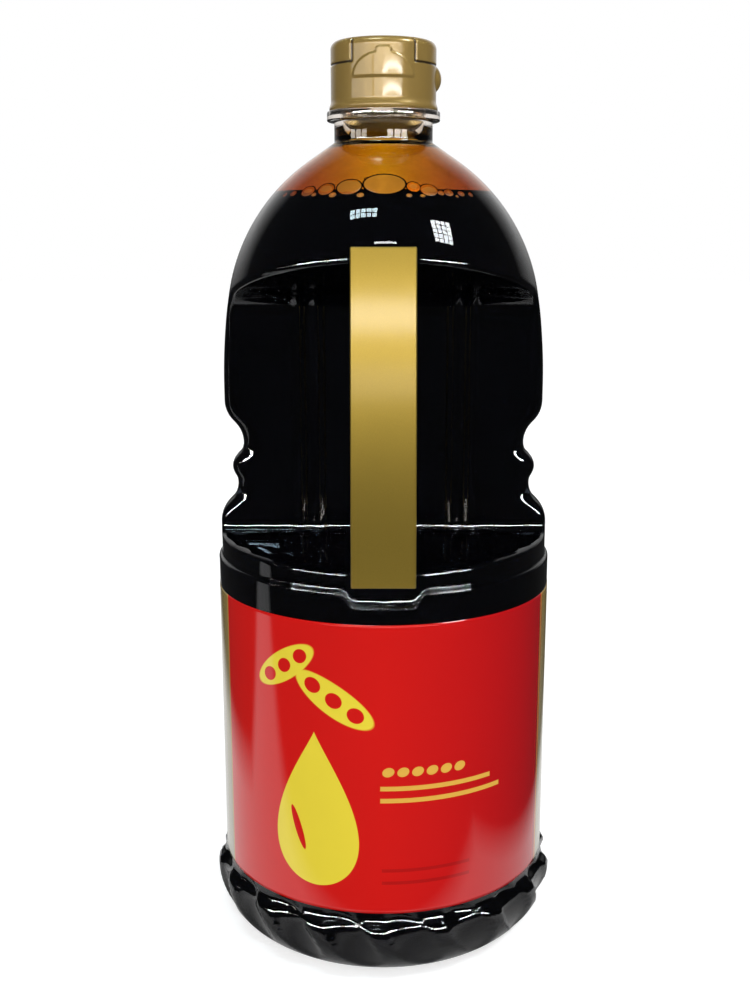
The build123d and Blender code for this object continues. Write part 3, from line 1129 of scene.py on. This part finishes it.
def groove_shade_mask(tree):
    """1 in the lid line and the two slits of the cap, where the colour is darkened as painted shade."""
    axes = object_axes(tree)
    turn = turn_from_front(tree, axes)
    beyond = math_node(tree, "SUBTRACT", math_node(tree, "ABSOLUTE", turn), slit_angle)
    from_slit = math_node(tree, "MULTIPLY", math_node(tree, "ABSOLUTE", beyond), cap_radius)
    above = math_node(tree, "SUBTRACT", axes["Z"], lid_height)
    half = slit_width / 2
    line = math_node(tree, "SUBTRACT", half, math_node(tree, "ABSOLUTE", above))
    line = math_node(tree, "MINIMUM", line, math_node(tree, "MULTIPLY", beyond, cap_radius))
    slit = math_node(tree, "MINIMUM", math_node(tree, "SUBTRACT", half, from_slit), above)
    on_skirt = math_node(tree, "SUBTRACT", from_axis(tree, axes), cap_radius - 0.4 * cap_round)
    slit = math_node(tree, "MINIMUM", slit, on_skirt)
    return clamp(tree, soft_step(tree, math_node(tree, "MAXIMUM", line, slit), 0.25 * MM))


strap_gold = make_gold("gold strap", (0.60, 0.41, 0.065), 0.38, 0.85, 0.22, (1.0, 0.13))
cap_gold = make_gold("gold cap", (0.39, 0.25, 0.065), 0.34, 0.35, 0.1, (1.0, 0.045), groove_shade_mask)
strap.data.materials.append(strap_gold)
cap.data.materials.append(cap_gold)
print("gold made")

# %% [markdown]
# ## Light, background and camera
# The bottle stands on a white sweep, with the room behind the camera in the dark. Black gloss shows
# only what it mirrors: the sweep at its edges, and the lamps as small bright patches. The world is
# white to the camera, and to what is seen through the plastic.

# %% World
diffuse_light = 0.5


def seen_directly(tree, path):
    """1 for what the camera sees, itself or through the plastic."""
    camera_ray, through_ray = path.outputs["Is Camera Ray"], path.outputs["Is Transmission Ray"]
    return math_node(tree, "MAXIMUM", camera_ray, through_ray)


def make_world():
    """White behind the bottle and dim in front of it, and always white to the camera."""
    world = bpy.data.worlds.new("studio")
    scene.world = world
    world.use_nodes = True
    tree = world.node_tree
    back = tree.nodes["Background"]
    path = tree.nodes.new("ShaderNodeLightPath")
    place = tree.nodes.new("ShaderNodeTexCoord")
    split = tree.nodes.new("ShaderNodeSeparateXYZ")
    tree.links.new(place.outputs["Generated"], split.inputs[0])
    behind = clamp(tree, math_node(tree, "MULTIPLY_ADD", split.outputs["Y"], 2.4, -1.35))
    raised = clamp(tree, math_node(tree, "MULTIPLY_ADD", split.outputs["Z"], 4.0, 0.1))
    behind = math_node(tree, "MULTIPLY", behind, raised)
    glossy = math_node(tree, "MULTIPLY_ADD", behind, 0.97, 0.03)
    other = math_node(tree, "MULTIPLY", path.outputs["Is Glossy Ray"],
                      math_node(tree, "SUBTRACT", glossy, diffuse_light))
    other = math_node(tree, "ADD", other, diffuse_light)
    missing = math_node(tree, "SUBTRACT", 1.0, other)
    lift = math_node(tree, "MULTIPLY", seen_directly(tree, path), missing)
    tree.links.new(math_node(tree, "ADD", other, lift), back.inputs["Strength"])
    back.inputs["Color"].default_value = (1, 1, 1, 1)


make_world()
print("world made:", scene.world.name)

# %% [markdown]
# The floor is a plain pale disc that catches the shadow. Gloss sees it differently, as painted light: lit
# round the bottle, half as bright close to it as a painted shadow, and dark further out to the front and
# the right.
# That leaves the heel and the foot of the sleeve dark with pale edges.

# %% Floor
def lit_patch(tree):
    """How bright the floor is where the bottle mirrors it."""
    axes = object_axes(tree)
    ahead = clamp(tree, soft_step(tree, math_node(tree, "ADD", axes["Y"], 85 * MM), 20 * MM))
    right = clamp(tree, soft_step(tree, math_node(tree, "SUBTRACT", 115 * MM, axes["X"]), 30 * MM))
    left = clamp(tree, soft_step(tree, math_node(tree, "ADD", axes["X"], 180 * MM), 60 * MM))
    beside = clamp(tree, soft_step(tree, math_node(tree, "SUBTRACT", 5 * MM, axes["Y"]), 20 * MM))
    lit = math_node(tree, "MINIMUM", ahead, right)
    lit = math_node(tree, "MINIMUM", lit, math_node(tree, "MAXIMUM", left, beside))
    # Painted shadow: the mirrored floor is half as bright close to the heel.
    from_heel = math_node(tree, "SUBTRACT", from_axis(tree, axes), 78 * MM)
    away = clamp(tree, soft_step(tree, from_heel, 16 * MM))
    lit = math_node(tree, "MULTIPLY", lit, math_node(tree, "MULTIPLY_ADD", away, 0.5, 0.5))
    return math_node(tree, "MULTIPLY_ADD", lit, 0.83, 0.03)


def make_floor():
    """A wide pale floor that keeps a soft shadow."""
    bm = bmesh.new()
    bmesh.ops.create_circle(bm, cap_ends=True, radius=6.0, segments=64)
    mesh = bpy.data.meshes.new("floor")
    bm.to_mesh(mesh)
    bm.free()
    floor = bpy.data.objects.new("floor", mesh)
    scene.collection.objects.link(floor)
    material, tree, shader = new_material("white sweep")
    path = tree.nodes.new("ShaderNodeLightPath")
    glow = math_node(tree, "MULTIPLY", seen_directly(tree, path), 0.62)
    mirrored = math_node(tree, "MULTIPLY", path.outputs["Is Glossy Ray"], lit_patch(tree))
    shader.inputs["Base Color"].default_value = (0.8, 0.8, 0.8, 1)
    shader.inputs["Roughness"].default_value = 1
    shader.inputs["Specular IOR Level"].default_value = 0
    shader.inputs["Emission Color"].default_value = (1, 1, 1, 1)
    tree.links.new(math_node(tree, "ADD", glow, mirrored), shader.inputs["Emission Strength"])
    dark = tree.nodes.new("ShaderNodeEmission")
    tree.links.new(mirrored, dark.inputs["Strength"])
    mix = tree.nodes.new("ShaderNodeMixShader")
    tree.links.new(path.outputs["Is Glossy Ray"], mix.inputs[0])
    tree.links.new(shader.outputs[0], mix.inputs[1])
    tree.links.new(dark.outputs[0], mix.inputs[2])
    tree.links.new(mix.outputs[0], tree.nodes["Material Output"].inputs["Surface"])
    mesh.materials.append(material)


make_floor()
print("floor made")

# %% [markdown]
# Gloss over black shows the lamps themselves, so they are shaped like what would be in the room: a
# panel in the ceiling, a window with panes, long strips. Most of them are gleams. A gleam only
# shows mirrored in one piece, so each piece can be given its bright edges without changing how
# brightly the rest is lit. The key light in front leaves out the shell, which it would only haze.

# %% Which lamp shows in which piece
def only(piece):
    """A collection of one piece, for a lamp that shows in nothing else."""
    alone = bpy.data.collections.new(f"only {piece.name}")
    alone.objects.link(piece)
    return alone


in_shell, in_cap, in_strap = only(shell), only(cap), only(strap)
all_but_shell = bpy.data.collections.new("all but shell")
for piece in scene.objects:
    if piece.type == "MESH" and piece != shell:
        all_but_shell.objects.link(piece)

# %% Helper for lamps
pane_share = 0.84


def add_lamp(name, target, place, size, radiance, tint=(1, 1, 1), turn=0, panes=(1, 1),
             gleam=None, lights=None):
    """A rectangular lamp facing target, placed by azimuth (right of the front), elevation and distance.

    It may be parted into panes. A gleam lights nothing: it only shows mirrored in one collection.
    A lamp that has a collection in lights shines on that one alone.
    """
    azimuth, elevation, distance = place
    round_way, up_way = math.radians(azimuth), math.radians(elevation)
    level = math.cos(up_way)
    away = Vector((math.sin(round_way) * level, -math.cos(round_way) * level, math.sin(up_way)))
    facing = away.to_track_quat("Z", "Y").to_matrix() @ Matrix.Rotation(math.radians(turn), 3, "Z")
    columns_of, rows_of = panes
    pitch_x, pitch_y = size[0] / columns_of, size[1] / rows_of
    share = pane_share if panes != (1, 1) else 1
    for i in range(columns_of * rows_of):
        lamp = bpy.data.lights.new(f"{name} {i}", "AREA")
        lamp.shape = "RECTANGLE"
        lamp.size, lamp.size_y = pitch_x * share, pitch_y * share
        lamp.energy = radiance * math.pi * lamp.size * lamp.size_y
        lamp.color = tint
        column, row = i % columns_of - (columns_of - 1) / 2, i // columns_of - (rows_of - 1) / 2
        thing = bpy.data.objects.new(f"{name} {i}", lamp)
        beside = facing @ Vector((column * pitch_x, row * pitch_y, 0))
        thing.location = Vector(target) + away * distance + beside
        thing.rotation_euler = facing.to_euler()
        scene.collection.objects.link(thing)
        if gleam:
            thing.visible_diffuse = False
            thing.light_linking.receiver_collection = gleam
        if lights:
            thing.light_linking.receiver_collection = lights


# %% Lamps that light the room
dome_spot = (0, -0.04, 0.235)
add_lamp("ceiling panel", dome_spot, (-33, 67, 1.2), (0.36, 0.135), 24, (0.74, 0.93, 1.0), 24, (5, 2))
add_lamp("window", dome_spot, (65, 48, 1.2), (0.28, 0.28), 30, (0.92, 0.98, 1.0), -32, (4, 5))
add_lamp("front key", (0, -0.05, 0.2), (-3, 18.8, 1.0), (1.6, 0.09), 7.3, (1.0, 0.98, 0.96),
         lights=all_but_shell)
print("room lamps made")

# %% Gleams on the cap and the strap
cap_spot = (0, 0, 0.28)
for name, elevation in (("low window", 7.4), ("sill window", 6.1)):
    add_lamp(name, cap_spot, (19, elevation, 1.0), (0.74, 0.006), 28, (1.0, 1.0, 0.98), gleam=in_cap)
for azimuth, width, radiance in ((-48, 0.9, 2.2), (-6, 0.5, 3.2), (24, 0.6, 2.2)):
    add_lamp("cap veil", cap_spot, (azimuth, 8, 1.0), (width, 0.18), radiance, gleam=in_cap)
add_lamp("strap veil", (0, -0.055, 0.19), (0, 8.5, 1.0), (1.2, 0.10), 1.5, gleam=in_strap)
add_lamp("strap sill", (0, -0.055, 0.12), (0, -40, 0.16), (0.2, 0.03), 1.3, gleam=in_strap)
print("cap and strap gleams made")

# %% Gleams on the shell
edge_spot, neck_spot, floor_spot = (0, -0.05, 0.18), (0, 0, 0.265), (0, -0.03, 0.14)
warm_tint, sky_tint = (1.0, 0.93, 0.8), (0.62, 0.85, 1.0)
for name, azimuth, width in (("left", -46, 0.70), ("middle", 0, 0.66), ("right", 46, 0.60)):
    add_lamp(f"{name} gleam", edge_spot, (azimuth, 13.0, 1.0), (width, 0.09), 110, gleam=in_shell)
for azimuth, width, radiance in ((-60, 0.8, 11), (32, 0.9, 18)):
    add_lamp("neck gleam", neck_spot, (azimuth, 3.6, 1.0), (width, 0.05), radiance, warm_tint,
             panes=(3, 1), gleam=in_shell)
add_lamp("arch gleam", dome_spot, (1.5, 49.4, 1.0), (0.26, 0.022), 24, gleam=in_shell)
for azimuth, elevation, width, height in (
    (-9.1, 20.6, 0.032, 0.012), (-5.6, 20.6, 0.049, 0.012), (5.7, 20.6, 0.013, 0.014),
    (-8.9, 19.5, 0.050, 0.005), (-5.2, 19.5, 0.030, 0.005),
):
    add_lamp("pane gleam", floor_spot, (azimuth, elevation, 1.0), (width, height), 150, sky_tint,
             gleam=in_shell)
print("shell gleams made")

# %% [markdown]
# The camera stands a little above the middle of the bottle, close enough for the sleeve's edges to
# curve, and looks slightly down.

# %% Camera
camera_distance, camera_height = 403.93 * MM, 233.58 * MM
camera_pitch = math.radians(12.31)
camera_data = bpy.data.cameras.new("camera")
camera_data.sensor_width = 36
camera_data.lens = 44.02
camera_data.shift_x = -0.0085
camera = bpy.data.objects.new("camera", camera_data)
camera.location = (0, -camera_distance, camera_height)
camera.rotation_euler = (math.pi / 2 - camera_pitch, 0, 0)
camera_data.clip_start = 0.01
scene.collection.objects.link(camera)
scene.camera = camera
scene.view_settings.view_transform = "Standard"
print("camera at", [round(c, 4) for c in camera.location])
